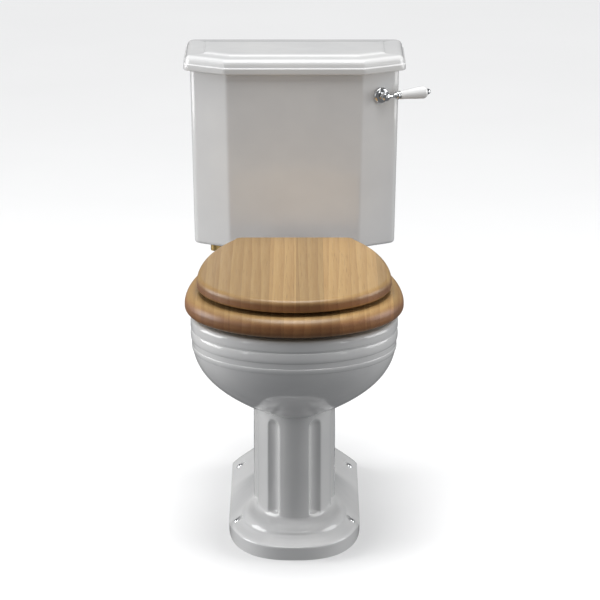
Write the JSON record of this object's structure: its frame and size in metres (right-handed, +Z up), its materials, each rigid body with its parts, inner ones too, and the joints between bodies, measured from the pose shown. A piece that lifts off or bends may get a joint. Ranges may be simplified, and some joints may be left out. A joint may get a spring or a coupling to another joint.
{
  "type": "close coupled toilet",
  "caption": "Close coupled toilet with a fluted pedestal pan, round beaded bowl, lever cistern with cut front corners, and a hinged timber seat ring and lid.",
  "frame": {"origin": "on the floor, at the centre of the pan's foot", "axes": "+Z up; -Y to the front of the bowl, +Y to the wall behind the cistern; +X to the right seen from the front, where the lever is"},
  "size_m": [0.4489, 0.686, 0.808],
  "materials": {
    "china": "gloss",
    "lever_china": "gloss",
    "oak": "satin lacquer",
    "chrome": "polished",
    "brass": "machined",
    "rubber": "matte",
    "steel": "plated",
    "plastic": "moulded"
  },
  "bodies": {
    "pan_and_cistern": {"pan": "china", "floor_screw_cups": "chrome", "floor_screw_caps": "chrome", "cistern": "china", "doughnut_washer": "rubber", "coupling_bolts": "brass", "coupling_top_washers": "rubber", "coupling_lower_washers": "steel", "coupling_wing_nuts": "brass", "hinge_pillars": "chrome", "hinge_seals": "rubber", "hinge_rod": "chrome", "hinge_rod_caps": "chrome", "hinge_studs": "steel", "hinge_stud_washers": "rubber", "hinge_wing_nuts": "plastic", "lever_rosette": "chrome", "lever_bush": "brass", "lever_bush_nut": "brass", "siphon_body": "plastic", "siphon_washer": "rubber", "siphon_back_nut": "plastic", "valve_tail": "brass", "valve_head": "brass", "valve_washer": "rubber", "valve_back_nut": "brass", "valve_pivot_pin": "steel", "blanking_plug": "plastic", "blanking_nut": "plastic"},
    "seat_ring_assembly": {"seat_ring": "oak", "ring_buffers": "rubber", "ring_hinge_leaves": "chrome", "ring_hinge_screws": "brass"},
    "seat_lid_assembly": {"seat_lid": "oak", "lid_buffers": "rubber", "lid_hinge_leaves": "chrome", "lid_hinge_screws": "brass"},
    "tank_lid": {"cistern_lid": "china"},
    "lever": {"lever_spindle": "brass", "lever_neck": "chrome", "lever_collar": "chrome", "lever_grip": "lever_china", "lever_finial": "chrome", "inner_lever_arm": "brass", "inner_arm_pin": "steel"},
    "lifter": {"lift_link": "brass", "lift_rod": "brass", "lift_plate": "plastic", "siphon_diaphragm": "rubber"},
    "float_assembly": {"float_arm": "brass", "float": "plastic"},
    "piston": {"valve_piston": "plastic"}
  },
  "joints": [
    {"name": "seat_hinge", "type": "hinge", "parent": "pan_and_cistern", "child": "seat_ring_assembly", "pos_m": [0, 0.108, 0.455], "axis": [-1, 0, 0], "range_deg": [0, 88]},
    {"name": "lid_hinge", "type": "hinge", "parent": "seat_ring_assembly", "child": "seat_lid_assembly", "pos_m": [0, 0.108, 0.455], "axis": [1, 0, 0], "range_deg": [-88, 0]},
    {"name": "cistern_lid_lift", "type": "slide", "parent": "pan_and_cistern", "child": "tank_lid", "axis": [0, 0, 1], "range_m": [0, 0.15]},
    {"name": "flush_lever", "type": "hinge", "parent": "pan_and_cistern", "child": "lever", "pos_m": [0.15564, 0.1685, 0.737], "axis": [-0.489, 0.8723, 0], "range_deg": [0, 36]},
    {"name": "siphon_lift", "type": "slide", "parent": "pan_and_cistern", "child": "lifter", "axis": [0, 0, 1], "range_m": [0, 0.0319]},
    {"name": "float_swing", "type": "hinge", "parent": "pan_and_cistern", "child": "float_assembly", "pos_m": [-0.108, 0.244, 0.7], "axis": [0, 1, 0], "range_deg": [0, 28]},
    {"name": "valve_slide", "type": "slide", "parent": "pan_and_cistern", "child": "piston", "axis": [1, 0, 0], "range_m": [0, 0.00573]}
  ],
  "couplings": [
    {"joint": "siphon_lift", "follows": "flush_lever", "m_per_rad": 0.050449},
    {"joint": "valve_slide", "follows": "float_swing", "m_per_rad": 0.011528}
  ]
}
